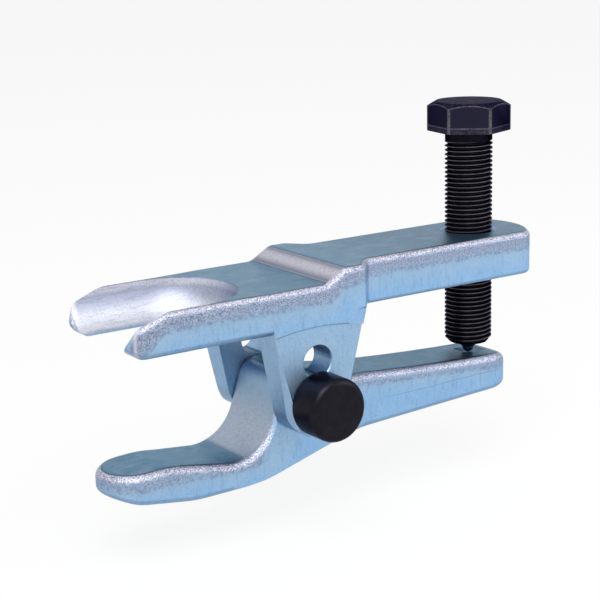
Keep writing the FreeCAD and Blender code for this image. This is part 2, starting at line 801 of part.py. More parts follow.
def make_pivot_pin():
    """The removable pivot pin: a plain round knob and a shank with a groove for its spring ring."""
    body = new_body("pivot_pin")
    knob_face = CHEEK_HALF + S["knob_gap"]
    groove_start = CHEEK_HALF + S["groove_offset"]
    groove_end = groove_start + 2 * S["ring_wire_radius"] + S["groove_play"]
    groove_floor = S["pin_radius"] - S["groove_depth"]
    end = CHEEK_HALF + S["pin_end_reach"]
    side = new_sketch(body, "pin_side", "XY_Plane", -S["pivot_spacing"])
    outline(side, [
        (0, -knob_face - S["knob_length"]),
        (S["knob_radius"], -knob_face - S["knob_length"]),
        (S["knob_radius"], -knob_face),
        (S["pin_radius"], -knob_face),
        (S["pin_radius"], groove_start),
        (groove_floor, groove_start),
        (groove_floor, groove_end),
        (S["pin_radius"], groove_end),
        (S["pin_radius"], end - S["pin_end_chamfer"]),
        (S["pin_radius"] - S["pin_end_chamfer"], end),
        (0, end),
    ])
    turned(body, side, "Revolution")
    outer_face = -(knob_face + S["knob_length"]).value

    def knob_rim(edge):
        flat = edge.BoundBox.YLength < 0.01
        return edge.Curve.TypeId == "Part::GeomCircle" and flat and near(edge.BoundBox.YMin, outer_face)

    round_edges(body, "knob_rim_round", S["knob_rounding"], knob_rim)
    return body


def make_snap_ring():
    """The open spring ring of round wire that keeps the pin from working out."""
    body = new_body("pin_snap_ring")
    wire = S["ring_wire_radius"]
    middle = CHEEK_HALF + S["groove_offset"] + wire + S["ring_gap"]
    hoop = S["pin_radius"] - S["groove_depth"] + wire + S["ring_lift"]
    section = new_sketch(body, "ring_section", "XY_Plane", -S["pivot_spacing"])
    disc(section, hoop, middle, wire)
    feature = body.newObject("PartDesign::Revolution", "ring_sweep")
    feature.Profile = section
    feature.ReferenceAxis = (section, ["V_Axis"])
    feature.Angle = 325
    finish_feature(body, feature, False)
    return body


bodies = [
    make_fork_arm(),
    make_pressure_lever(),
    make_forcing_screw(),
    make_pressure_tip(),
    make_pivot_pin(),
    make_snap_ring(),
]
doc.recompute()
for item in doc.Objects:
    if "Invalid" in item.State or "Error" in item.State:
        raise ValueError(f"{item.Name} is in state {item.State}")
for body in bodies:
    if body.Shape.isNull() or not body.Shape.isValid() or len(body.Shape.Solids) != 1:
        raise ValueError(f"{body.Label} has no single valid solid")

os.makedirs("parts", exist_ok=True)
for body in bodies:
    body.Shape.exportStep(f"parts/{body.Label}.step")
    print(f"{body.Label:16s} {body.Shape.Volume:10.1f} mm3  {body.Shape.BoundBox}")
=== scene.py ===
import math

import bmesh
import bpy
from bpy.props import FloatProperty, FloatVectorProperty, IntProperty, PointerProperty
from bpy.types import Operator, Panel, PropertyGroup
from mathutils import Matrix, Vector


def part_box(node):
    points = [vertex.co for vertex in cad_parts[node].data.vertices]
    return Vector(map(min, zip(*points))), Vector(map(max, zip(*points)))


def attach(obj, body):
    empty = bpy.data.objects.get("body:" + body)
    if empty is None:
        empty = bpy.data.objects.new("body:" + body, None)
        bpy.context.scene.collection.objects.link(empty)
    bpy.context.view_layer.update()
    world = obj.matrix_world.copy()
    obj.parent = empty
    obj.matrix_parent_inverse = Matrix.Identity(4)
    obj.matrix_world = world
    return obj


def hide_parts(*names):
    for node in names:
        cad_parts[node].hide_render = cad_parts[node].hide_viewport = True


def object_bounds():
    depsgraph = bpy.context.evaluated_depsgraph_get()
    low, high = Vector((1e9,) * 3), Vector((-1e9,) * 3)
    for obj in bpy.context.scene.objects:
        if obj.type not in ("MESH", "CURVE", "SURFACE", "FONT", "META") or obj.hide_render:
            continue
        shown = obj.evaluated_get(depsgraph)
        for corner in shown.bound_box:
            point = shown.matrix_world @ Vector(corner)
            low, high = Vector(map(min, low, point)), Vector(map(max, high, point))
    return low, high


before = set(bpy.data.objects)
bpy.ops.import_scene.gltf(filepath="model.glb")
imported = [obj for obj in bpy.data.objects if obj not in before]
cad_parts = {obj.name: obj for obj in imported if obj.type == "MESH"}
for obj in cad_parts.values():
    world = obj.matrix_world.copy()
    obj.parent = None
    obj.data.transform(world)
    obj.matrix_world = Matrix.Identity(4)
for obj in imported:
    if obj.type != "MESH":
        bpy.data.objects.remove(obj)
CAD_BOX = [list(corner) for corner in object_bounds()]

bl_info = {
    "name": "Ball joint separator",
    "version": (1, 0, 0),
    "blender": (4, 5, 0),
    "location": "View3D > Sidebar > Separator",
    "description": "Finishes, forcing screw, pivot pin and stage of a ball joint separator",
    "category": "Object",
}

MM = 0.001
SCREW_LOW, SCREW_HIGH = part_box("forcing_screw")
PIN_LOW, PIN_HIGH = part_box("pivot_pin")
LEVER_LOW, LEVER_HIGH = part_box("pressure_lever")
SCREW_X = (SCREW_LOW.x + SCREW_HIGH.x) / 2
PIN_Z = (PIN_LOW.z + PIN_HIGH.z) / 2

HEAD_SLOPE = 3.4 / 6  # slope of the bevels above and below the head
CREST_SHARE = 1 / 8  # flat of the thread's crest, as a share of the pitch
ROOT_SHARE = 1 / 4  # flat of the thread's root, as a share of the pitch
MARGIN = 1 * MM  # how far a cutting body reaches past what it cuts
SKIN_WELD = 0.002 * MM  # points nearer than this are one point of a turned body
THREAD_WELD = 0.01 * MM  # the same for the rows of the thread
ROUND_STEPS = 96  # flats that make up a turned body
ARC_STEPS = 5  # flats that make up a rounded corner of a section
EDGE_STEPS = 3  # flats that make up a rounded edge of the head
SHARP_ANGLE = math.radians(20)  # edges of the head sharper than this are rounded
SMOOTH_ANGLE = math.radians(32)  # edges flatter than this are shaded smooth

# Tint of the light that grazes each finish
ARM_GRAZE = (0.78, 0.88, 0.95, 1)
LEVER_GRAZE = (0.7, 0.84, 0.93, 1)
BLACK_GRAZE = (0.3, 0.29, 0.36, 1)
KNOB_GRAZE = (0.5, 0.47, 0.55, 1)

# Depth of the bump of each finish
PLATE_RELIEF = 0.12 * MM
BLACK_RELIEF = 0.05 * MM
STEEL_RELIEF = 0.03 * MM

# The stage, in metres, degrees and millimetres of lens
FLOOR_WIDTH = 12
FLOOR_ROUGHNESS = 0.9
FLOOR_WHITE = 0.86  # share of plain white in the floor that is seen
KEY_PLACE = (-0.45, -0.75, 1.05)
FILL_PLACE = (0.95, -0.7, 0.5)
LAMP_TARGET = (0.01, 0, 0)
CAMERA_PLACE = (-0.2539, -0.3876, 0.1281)
CAMERA_ANGLES = (34.16, 13.73, -1.32)  # turn, pitch and roll in degrees
CAMERA_SENSOR = 36
CAMERA_LENS = 91.62
CAMERA_NEAR = 0.01


def tint(red, green, blue):
    """A screen colour, 0 to 255, as the linear values that a material takes."""
    def linear(level):
        level = level / 255
        return level / 12.92 if level <= 0.04045 else ((level + 0.055) / 1.055) ** 2.4

    return linear(red), linear(green), linear(blue)


def mm(*values):
    """Millimetres in metres: one number, or a tuple of several."""
    lengths = tuple(value * MM for value in values)
    return lengths if len(lengths) > 1 else lengths[0]


def length(name, description, default):
    """A setting for a length."""
    return FloatProperty(name=name, description=description, default=default, min=0, unit="LENGTH")


def ratio(name, description, default):
    """A setting for a share of a size."""
    return FloatProperty(name=name, description=description, default=default, min=0, max=1)


def power(name, description, default):
    """A setting for the power of a lamp."""
    return FloatProperty(name=name, description=description, default=default, min=0, unit="POWER")


def colour(name, description, red, green, blue):
    """A setting for a colour."""
    return FloatVectorProperty(name=name, description=description, subtype="COLOR",
                               default=tint(red, green, blue), min=0, max=1)


class ScrewSizes(PropertyGroup):
    """Sizes of the forcing screw."""

    thread_radius: length("Thread radius", "Outer radius of the thread", 8.0 * MM)
    pitch: length("Pitch", "Rise of the thread in one turn", 1.5 * MM)
    depth: length("Thread depth", "Depth of the thread's groove", 0.92 * MM)
    neck: length("Neck length", "Plain length under the head", 3.0 * MM)
    neck_lap: length("Neck lap", "How far the neck reaches into the thread", 0.1 * MM)
    neck_fillet: length("Neck fillet", "Rounding between the neck and the head", 0.8 * MM)
    collar: length("Collar width", "Width of the neck's collar inside the head", 2.0 * MM)
    collar_height: length("Collar height", "Height of the collar inside the head", 0.2 * MM)
    end_chamfer: length("End chamfer", "Bevel at the thread's lower end", 1.6 * MM)
    head_height: length("Head height", "Height of the hexagon head", 10.0 * MM)
    across_flats: length("Across flats", "Width of the hexagon", 24.0 * MM)
    crown_radius: length("Crown radius", "Radius of the flat top inside the bevel", 10.9 * MM)
    underside: length("Underside bevel", "How far the lower bevel cuts into the corners",
                      0.3 * MM)
    runout: length("Run-out", "Step from the thread's crest to the neck", 0.1 * MM)
    edge: length("Edge rounding", "Rounding of the head's edges", 0.35 * MM)
    turn: FloatProperty(name="Head turn", description="Angle of the hexagon about the screw",
                        default=math.radians(20.6), subtype="ANGLE")
    steps: IntProperty(name="Steps a turn", description="Flats that make up one turn of thread",
                       default=56, min=24)


class PinSizes(PropertyGroup):
    """Sizes of the pivot pin and its knob."""

    shank_radius: length("Shank radius", "Radius of the pin's shank", 5.0 * MM)
    knob_radius: length("Knob radius", "Radius of the round knob", 10.0 * MM)
    knob_length: length("Knob length", "Length of the round knob", 11.2 * MM)
    knob_rounding: length("Knob rounding", "Rounding of the knob's outer edge", 2.2 * MM)
    knob_edge: length("Knob edges", "Rounding of the knob's smaller edges", 0.5 * MM)
    dip: length("Face dip", "Depth of the shallow dip in the knob's face", 0.12 * MM)
    dip_floor: ratio("Dip floor", "Radius of the dip's floor in the knob's radius", 0.55)
    dip_edge: ratio("Dip edge", "Radius of the dip's edge in the knob's radius", 0.62)
    groove_radius: length("Groove radius", "Radius at the floor of the ring's groove", 4.0 * MM)
    groove_start: length("Groove start", "Place of the groove along the pin", 22.65 * MM)
    groove_width: length("Groove width", "Width of the ring's groove", 1.7 * MM)
    groove_edge: length("Groove edge", "Rounding of the groove's edges", 0.15 * MM)
    groove_fillet: length("Groove fillet", "Rounding in the groove's corners", 0.2 * MM)
    end_chamfer: length("End chamfer", "Bevel at the pin's plain end", 1.0 * MM)
    end_edge: length("End edges", "Rounding of the bevel's edges", 0.25 * MM)


class FinishColours(PropertyGroup):
    """Colours of the finishes."""

    side: colour("Plate, sides", "Zinc plate on the smooth sides", 150, 183, 214)
    low: colour("Plate, low sides", "Clear blue at the foot of the sides", 138, 182, 224)
    # Partly the pressed faces' own tone, partly painted shade: the upper flats are painted darker
    # than the sides.
    flat: colour("Plate, flats", "Zinc plate on the pressed upper faces", 88, 128, 154)
    # Painted shade on the upper faces towards the screw.
    flat_screw_shade: colour("Plate, rear flats", "Upper faces towards the screw", 46, 82, 108)
    flat_light: colour("Plate, light marks", "Light drawn marks on the flats", 128, 150, 172)
    flat_dark: colour("Plate, dark marks", "Dark drawn marks on the flats", 70, 96, 118)
    flat_violet: colour("Plate, violet", "Violet clouds on the flats", 122, 118, 150)
    pale: colour("Plate, pale grains", "Pale clouds and grains all over", 192, 210, 228)
    dull: colour("Plate, dull grains", "Dull grains all over", 58, 78, 100)
    streak: colour("Plate, streaks", "Upright streaks on the sides", 88, 120, 156)
    speckle: colour("Plate, speckle ground", "Ground of the speckle", 150, 158, 182)
    soot: colour("Plate, speckle", "Dark speckle that fades down the sides", 92, 92, 114)
    speckle_light: colour("Plate, light speckle", "Light grains of the speckle", 206, 208, 220)
    tide: colour("Plate, tide line", "Ragged line where the speckle ends", 70, 80, 108)
    # Painted highlight on the rounded upper edges, over the bright grains of the forged skin.
    rim_highlight: colour("Plate, rims", "Bright grains on the rounded forged edges", 226, 222, 232)
    grain: colour("Plate, grain", "Dark grains between the bright ones", 116, 114, 134)
    brush: colour("Plate, brush marks", "Marks on the bright worked faces", 112, 118, 138)
    # Painted shade: a dark line where the flats turn into the rounded edges.
    border_shade: colour("Plate, borders", "Dark border round the flats", 52, 54, 70)
    foot: colour("Plate, lower edges", "Shade on the rounded lower edges", 58, 78, 108)
    scribe: colour("Plate, lines", "Scribed lines and scratches", 74, 84, 108)
    # Partly the worked satin of the dish, partly painted light: the dish is painted near white.
    dish: colour("Plate, dish", "Bright satin plate in the fork's dish", 212, 214, 224)
    dish_wall: colour("Plate, dish wall", "Shade on the wall of the dish", 146, 154, 178)
    # Painted highlight along the dish's lip.
    dish_lip_highlight: colour("Plate, dish lip", "Bright lip of the dish", 222, 220, 230)
    # Painted shade and painted highlight on the slope up to the arm: shade at either side,
    # highlight across its middle.
    brow_shade: colour("Plate, slope", "Shade on the slope up to the arm", 100, 104, 124)
    brow_highlight: colour("Plate, slope shine", "Shine on the slope up to the arm", 204, 200, 210)
    sweep: colour("Plate, sweep", "Brushed satin plate on the lever's bend", 172, 183, 198)
    sweep_top: colour("Plate, upper sweep", "Shade on the top of the bend", 112, 138, 152)
    black: colour("Black steel", "Blackened steel of the screw and the pin", 20, 19, 27)
    black_smudge: colour("Black smudges", "Smudges on the screw", 30, 27, 42)
    black_head: colour("Black head", "Skin of the screw's head", 44, 43, 62)
    black_top: colour("Black head, top", "Skin on the top of the head", 58, 56, 70)
    black_dust: colour("Black dust", "Fine grey specks on the screw", 66, 60, 74)
    knob_smudge: colour("Knob smudges", "Smudges on the pin", 32, 29, 40)
    knob_dust: colour("Knob dust", "Fine grey specks on the pin", 50, 46, 58)
    # Also laid on the thread's crests, partly worn bare and partly a painted highlight, and low on
    # the head's sides as a painted reflection of the arm.
    worn: colour("Worn steel", "Bare steel where the black has worn off", 112, 109, 116)
    steel: colour("Bright steel", "Plain steel of the spring ring", 172, 176, 184)
    tip: colour("Tip steel", "Hardened steel of the pressure tip", 84, 86, 96)
    tarnish: colour("Tarnish", "Tarnish on the bright steel", 96, 94, 100)


class StudioLevels(PropertyGroup):
    """Levels of the studio."""

    floor: colour("Floor", "Colour of the plain floor", 250, 250, 250)
    drop: length("Floor drop", "Room under the tool for the lever at its lowest", 20 * MM)
    world: FloatProperty(name="World level", description="Even light from all around", default=0.5,
                         min=0)
    key: power("Key lamp", "Power of the large lamp above the front", 14)
    key_width: length("Key width", "Width of the key lamp", 0.9)
    fill: power("Fill lamp", "Power of the lamp at the side", 4)
    fill_width: length("Fill width", "Width of the fill lamp", 0.7)


class SeparatorSettings(PropertyGroup):
    """All settings of the separator."""

    screw: PointerProperty(type=ScrewSizes)
    pin: PointerProperty(type=PinSizes)
    finish: PointerProperty(type=FinishColours)
    studio: PointerProperty(type=StudioLevels)


class Facing:
    """How far a face looks up, -1 to 1, where each look starts and is full.

    Four values are a band: where the look starts, is full, begins to fade and ends."""

    # Upper flats, painted darker than the sides, partly as painted shade.
    flat = (0.93, 0.985)
    # Where the flats turn into the rounded edges and get a painted shade line.
    border_shade = (0.89, 0.94, 0.96, 0.985)
    foot = (-0.92, -0.55, -0.30, -0.08)
    not_top = (0.60, 0.45)
    end_wall = (0.85, 0.7)
    dish_wall = (0.97, 0.93)
    brow = (0.70, 0.80, 0.90, 0.97)
    # Upper rounded edges that get a painted highlight, on the arm and on the lever.
    arm_rim_highlight = (0.30, 0.55, 0.90, 0.975)
    lever_rim_highlight = (0.16, 0.50, 0.90, 0.975)
    lever_side = (0.5, 0.3)
    sweep = (-0.2, 0.1, 0.93, 0.99)
    head_side = (0.35, 0.15)
    head_crown = (0.5, 0.8)
    head_top = (0.6, 0.9)


class Sideways:
    """How far a face looks to either side, 0 to 1, where each look starts and is full."""

    outer_wall = (0.4, 0.7)
    cheek = (0.8, 0.95)
    # Sideways look of the lever's upper rounded edges that get a painted highlight.
    lever_rim_highlight = (0.10, 0.30)
    lever_bend = (0.5, 0.2)
    lever_wall = (0.85, 0.97)


class ArmZones:
    """Where each look of the arm starts and is full, along it, across it or in height."""

    underside = mm(9.5, 11.5)
    upper_edge = mm(23.4)
    shoulder = mm(4.4, 11.8)
    shoulder_rise = mm(4.2)
    nose = mm(-50, -62)
    nose_drop = mm(7)
    outer_wall = mm(13.3, 13.8)
    end_wall = mm(10, 14)
    eye_edge = mm(9.8, 10.4)
    speckle = mm(8.2, 3.6)
    low = mm(7, 12)
    dish_middle = mm(-37.4)
    dish_edge = mm(20.9, 20.2)
    dish_top = mm(23.2, 22.9)
    dish_foot = mm(10.8, 11.6)
    dish_mouth = mm(-61.4, -60.6)
    # Heights and places of the painted highlight along the dish's lip.
    dish_lip_highlight = mm(21.9, 22.5)
    dish_lip_highlight_end = mm(-58.6, -59.8)
    dish_wall = mm(14.5, 18.5, 20.5, 22)
    brow = mm(2.5, 5, 11, 13)
    brow_width = mm(22, 20)
    # Band across the slope's middle that gets a painted highlight.
    brow_highlight_band = mm(4.6, 8.2, 9, 12)
    arc_drop = mm(69)
    arc_radius = mm(80)
    arc_line = mm(0.35, 0.05)
    cheek = mm(13, 11)
    scratched = mm(9, 6)


class LeverZones:
    """Where each look of the lever starts and is full, along it or in height."""

    ends = mm(9, 5)
    behind = mm(-10, 8)
    upper_edge = mm(-28.6)
    upper_rise = mm(19)
    tail_start = mm(8)
    tail_slope = 0.076
    speckle = mm(6.4, 2.4)
    low = mm(4, 9)
    jaw_side = mm(-13, -19)
    tail_side = mm(8, 14)
    clean_jaw = mm(-20, -40)
    bend = mm(-34, -24, -12, -4)
    bend_height = mm(-24, -8)
    flash_drop = mm(20.6)
    flash_slope = 0.012
    flash_wave = mm(1.4)
    flash_line = mm(0.34, 0.06)
    flash_start = mm(28, 40)


class BlackZones:
    """Where each look of the screw and the pin starts and is full."""

    head = mm(-0.2, -0.1)
    bevel_edge = mm(0.55, 0.1)
    corner_edge = mm(0.42, 0.22)
    # Band low on the head's sides that gets a painted reflection of the arm.
    arm_reflection_ring = mm(1.5, 1.8, 1.95, 2.2)
    low_wear_and_reflection = mm(2, 1)
    crown_edge = mm(-0.5, -0.1, 0.1, 0.5)
    thread = mm(0, -0.5)
    crest = mm(7.5, 7.92, 8.05, 8.2)
    shank = mm(5.6, 5.2)
    knob_end = mm(-22.2, -21.8)
    ring_marks = 14000
    spiral_marks = 11000


SPECKLE_WANDER = mm(2)  # how far the edge of the speckle wanders
SCREW_SHADE_REACH = mm(5, 60)  # where the painted shade towards the screw starts on the flats, and where it is darkest


class Field:
    """A value inside a finish. Arithmetic on it adds the nodes that work it out."""

    def __init__(self, finish, socket):
        self.finish = finish
        self.socket = socket

    def out(self, name):
        return Field(self.finish, self.socket.node.outputs[name])

    def maths(self, operation, *values):
        return self.finish.node("ShaderNodeMath", {"operation": operation}, values)

    def __add__(self, other):
        return self.maths("ADD", self, other)

    def __sub__(self, other):
        return self.maths("SUBTRACT", self, other)

    def __rsub__(self, other):
        return self.maths("SUBTRACT", other, self)

    def __mul__(self, other):
        return self.maths("MULTIPLY", self, other)

    def __pow__(self, other):
        return self.maths("POWER", self, other)

    def __abs__(self):
        return self.maths("ABSOLUTE", self)

    __radd__ = __add__


class Finish:
    """A procedural material, built from fields on object coordinates."""

    def __init__(self, name, **fixed):
        self.material = bpy.data.materials.new(name)
        self.material.use_nodes = True
        self.tree = self.material.node_tree
        self.shader = self.tree.nodes["Principled BSDF"]
        for socket, value in fixed.items():
            self.shader.inputs[socket.replace("_", " ")].default_value = value
        self.point = self.node("ShaderNodeTexCoord", output="Object")
        self.side = self.node("ShaderNodeSeparateXYZ", None, [self.point.out("Normal")], "Y")
        self.up = self.side.out("Z")
        self.x = self.node("ShaderNodeSeparateXYZ", None, [self.point])
        self.y = self.x.out("Y")
        self.z = self.x.out("Z")

    def node(self, kind, settings=None, values=(), output=0):
        """Add one node: its settings first, then the values or fields of its sockets."""
        made = self.tree.nodes.new(kind)
        for key, value in (settings or {}).items():
            setattr(made, key, value)
        pairs = values.items() if isinstance(values, dict) else enumerate(values)
        for key, value in pairs:
            self.feed(made.inputs[key], value)
        return Field(self, made.outputs[output])

    def feed(self, socket, value):
        """Link a field to a socket, or set the socket to a plain value."""
        if isinstance(value, Field):
            self.tree.links.new(value.socket, socket)
        else:
            socket.default_value = value

    def rise(self, value, low, high):
        """0 at low and beyond it, 1 at high and beyond it, smooth between."""
        return self.node("ShaderNodeMapRange", {"interpolation_type": "SMOOTHSTEP"},
                         {"Value": value, "From Min": low, "From Max": high})

    def band(self, value, low, full, still, high):
        """1 between full and still, falling to 0 at low and at high."""
        return self.rise(value, low, full) * self.rise(value, high, still)

    def noise(self, scale, detail=2.0, roughness=0.5, stretch=None):
        """Noise on object coordinates, drawn out along the axes whose stretch is under 1."""
        where = self.point
        if stretch:
            where = self.node("ShaderNodeMapping", None, {"Vector": where, "Scale": stretch})
        values = {"Vector": where, "Scale": scale, "Detail": detail, "Roughness": roughness}
        return self.node("ShaderNodeTexNoise", None, values)

    def blend(self, share, first, second):
        """Two colours mixed by a share."""
        settings = {"data_type": "RGBA", "clamp_factor": True}
        values = {0: share, 6: self.opaque(first), 7: self.opaque(second)}
        return self.node("ShaderNodeMix", settings, values, 2)

    def layers(self, base, *coats):
        """Lay colours over a base one after another, each given as a share and a colour."""
        for cover, shade in coats:
            base = self.blend(cover, base, shade)
        return base

    @staticmethod
    def distance(first, second):
        """How far a point lies from an axis, from its two distances square to the axis."""
        return (first * first + second * second) ** 0.5

    @staticmethod
    def opaque(value):
        """A field as it is, or a plain colour with its alpha."""
        return value if isinstance(value, Field) else (*value[:3], 1.0)

    @staticmethod
    def largest(first, second):
        """The greater of a field and another value."""
        return first.maths("MAXIMUM", first, second)

    def relief(self, height, depth):
        """Bump from a height of 0 to 1, depth metres high."""
        values = {"Strength": 1.0, "Distance": depth, "Height": height}
        return self.node("ShaderNodeBump", None, values)

    def set(self, **fields):
        """Feed the shader's sockets and hand over the finished material."""
        for socket, value in fields.items():
            self.feed(self.shader.inputs[socket.replace("_", " ")], value)
        return self.material


def plate(finish, colours, satin, rim_highlight, speckled, low, bright, line):
    """Zinc plate over a forged skin: smooth sides, flats painted darker, partly as painted shade,
    and grained rims under a painted highlight.

    satin is the colour of the bright worked faces. The rest are shares: the first of the rounded
    edge's painted highlight, speckled of the dark speckle under it, low of the sides' foot, bright
    of worked face and line of scribed line."""
    rise = finish.rise
    cloud = finish.noise(scale=140, detail=4, roughness=0.6)
    mottle = finish.noise(scale=900, detail=3, roughness=0.6)
    grain = finish.noise(scale=2300, detail=3, roughness=0.7)
    fine = finish.noise(scale=4600, detail=2, roughness=0.6)
    streak = finish.noise(scale=900, detail=2, roughness=0.6, stretch=(1, 1, 0.22))
    drawn = finish.noise(scale=1300, detail=3, roughness=0.6, stretch=(0.12, 1, 1))
    # Upper flats get a darker colour: partly their own tone, partly painted shade.
    flat = rise(finish.up, *Facing.flat) * (1 - bright)
    # Painted shade line where the flats turn into the rounded edges.
    border_shade = finish.band(finish.up, *Facing.border_shade) * (1 - bright)
    foot = finish.band(finish.up, *Facing.foot)
    pale = rise(cloud, 0.45, 0.70) * 0.15 + rise(grain, 0.54, 0.72) * 0.35
    dull = rise(fine, 0.46, 0.70) * (0.26 + flat * 0.40) + rise(mottle, 0.56, 0.70) * 0.14
    tide = finish.band(speckled, 0.05, 0.25, 0.45, 0.75) * rise(mottle, 0.44, 0.56)
    # The rounded edges' painted highlight, broken by dark grains of the forged skin.
    grains = finish.blend(rise(grain, 0.39, 0.63), colours.grain, colours.rim_highlight)
    brushed = rise(grain, 0.44, 0.70) * 0.35 + rise(drawn, 0.45, 0.70) * 0.25 + cloud * 0.15
    worked = finish.blend(brushed, satin, colours.brush)

    skin = finish.layers(
        colours.side,
        (low * 0.75, colours.low),
        (flat, colours.flat),
        # Painted shade on the flats towards the screw.
        (flat * rise(finish.x, *SCREW_SHADE_REACH) * 0.55, colours.flat_screw_shade),
        (flat * rise(drawn, 0.5, 0.7) * 0.5, colours.flat_light),
        (flat * rise(drawn, 0.5, 0.3) * 0.5, colours.flat_dark),
        (flat * rise(cloud, 0.54, 0.7) * 0.3, colours.flat_violet),
        (pale, colours.pale),
        (dull, colours.dull),
        (rise(streak, 0.52, 0.72) * (1 - flat) * 0.24, colours.streak),
        (speckled * 0.75, colours.speckle),
        (speckled * rise(grain, 0.52, 0.38) * 0.8, colours.soot),
        (speckled * rise(grain, 0.54, 0.68) * 0.6, colours.speckle_light),
        (tide * 0.28, colours.tide),
        # Painted highlight on the rounded upper edges.
        (rim_highlight * 0.85, grains),
        (bright, worked),
        # Painted shade line round the flats.
        (border_shade * 0.75, colours.border_shade),
        (foot * 0.25, colours.foot),
        (line * 0.6, colours.scribe),
    )
    rough = 0.30 + cloud * 0.10 - flat * 0.04 + rim_highlight * 0.06 + mottle * 0.06
    height = grain * (0.30 + rim_highlight * 0.50 + speckled * 0.2) + fine * 0.35 - line * 0.7
    return finish.set(Base_Color=skin, Roughness=rough, Normal=finish.relief(height, PLATE_RELIEF))


def wander(finish, depth):
    """A depth under the upper edge that wanders up and down along the edge."""
    return depth + finish.noise(scale=260, detail=3, roughness=0.6) * SPECKLE_WANDER


def arm_finish(colours):
    """The forked arm: grained rims under a painted highlight, speckle that fades down its sides
    and a bright dish, partly painted light.
    """
    finish = Finish("arm_plated_forging", Metallic=0.9, Specular_Tint=ARM_GRAZE)
    zones, rise, band = ArmZones, finish.rise, finish.band
    x, y, z, up, sideways = finish.x, finish.y, finish.z, finish.up, abs(finish.side)
    from_screw = x - SCREW_X

    top = (zones.upper_edge + rise(x, *zones.shoulder) * zones.shoulder_rise
           - rise(x, *zones.nose) * zones.nose_drop)
    below = top - z
    above_underside = rise(z, *zones.underside)
    outward = rise(sideways, *Sideways.outer_wall) * rise(abs(y), *zones.outer_wall)
    end = rise(abs(up), *Facing.end_wall) * rise(from_screw, *zones.end_wall)
    upright = finish.largest(outward, end)
    speckled = (rise(wander(finish, below), *zones.speckle) * upright
                * rise(up, *Facing.not_top))
    low = rise(below, *zones.low) * upright * above_underside
    off_eye = rise(finish.distance(from_screw, y), *zones.eye_edge)
    # Painted highlight on the arm's upper rounded edges, kept off the screw's hole.
    rim_highlight = band(up, *Facing.arm_rim_highlight) * above_underside * off_eye

    along = finish.largest(x - zones.dish_middle, 0.0)
    dish = (rise(finish.distance(along, y), *zones.dish_edge) * rise(z, *zones.dish_top)
            * rise(z, *zones.dish_foot) * rise(abs(up), *Facing.dish_wall)
            * rise(x, *zones.dish_mouth))
    # Painted highlight along the dish's lip and its open end.
    lip = finish.largest(rise(z, *zones.dish_lip_highlight), rise(x, *zones.dish_lip_highlight_end))
    brow = band(x, *zones.brow) * band(up, *Facing.brow) * rise(abs(y), *zones.brow_width)
    # Painted highlight across the middle of the slope, painted shade on either side.
    brow_light_and_shade = finish.blend(band(x, *zones.brow_highlight_band), colours.brow_shade, colours.brow_highlight)
    # The dish: worked satin painted near white, partly painted light, with painted shade on its
    # wall and a painted highlight on its lip.
    satin = finish.layers(
        colours.dish,
        (band(z, *zones.dish_wall) * 0.7, colours.dish_wall),
        (lip, colours.dish_lip_highlight),
        (brow, brow_light_and_shade),
    )

    arc = abs(finish.distance(x, z + zones.arc_drop) - zones.arc_radius)
    on_cheek = rise(sideways, *Sideways.cheek) * rise(x, *zones.cheek)
    milled = abs(finish.noise(scale=700, detail=2, stretch=(1, 0.2, 0.06)) - 0.5)
    scratch = rise(milled, 0.02, 0.0) * rise(z, *zones.scratched) * 0.25
    line = finish.largest(rise(arc, *zones.arc_line) * on_cheek * 0.8, scratch)
    return plate(finish, colours, satin, rim_highlight, speckled, low, finish.largest(dish, brow), line)


def lever_finish(colours):
    """The pressure lever: grained rims under a painted highlight, a brushed bend and the faint
    flash line of the forging.
    """
    finish = Finish("lever_plated_forging", Metallic=0.9, Specular_Tint=LEVER_GRAZE)
    zones, rise, band = LeverZones, finish.rise, finish.band
    x, z, up, sideways = finish.x, finish.z, finish.up, abs(finish.side)

    behind = rise(x, *zones.behind)
    tail = finish.largest(x - zones.tail_start, 0.0) * zones.tail_slope
    below = behind * zones.upper_rise + zones.upper_edge - tail - z
    upright = rise(abs(up), *Facing.lever_side)
    ends = finish.largest(rise(x - LEVER_LOW.x, *zones.ends), rise(LEVER_HIGH.x - x, *zones.ends))
    open_edge = finish.largest(rise(sideways, *Sideways.lever_rim_highlight), ends)
    # Painted highlight on the lever's upper rounded edges, weaker towards the tail.
    edge = band(up, *Facing.lever_rim_highlight) * open_edge
    rim_highlight = edge * (1 - behind * 0.45)
    off_bend = finish.largest(rise(x, *zones.jaw_side), rise(x, *zones.tail_side))
    speckled = (rise(wander(finish, below), *zones.speckle) * upright * off_bend
                * (1 - rise(x, *zones.clean_jaw) * 0.35))
    speckled = finish.largest(speckled, edge * behind)
    low = rise(below, *zones.low) * upright

    bright = (band(x, *zones.bend) * band(up, *Facing.sweep)
              * rise(sideways, *Sideways.lever_bend))
    satin = finish.blend(rise(z, *zones.bend_height) * 0.8, colours.sweep, colours.sweep_top)
    wave = finish.noise(scale=60) * zones.flash_wave
    flash = abs(z + zones.flash_drop - x * zones.flash_slope + wave)
    on_tail = rise(x, *zones.flash_start) * rise(sideways, *Sideways.lever_wall)
    line = rise(flash, *zones.flash_line) * on_tail * 0.4
    return plate(finish, colours, satin, rim_highlight, speckled, low, bright, line)


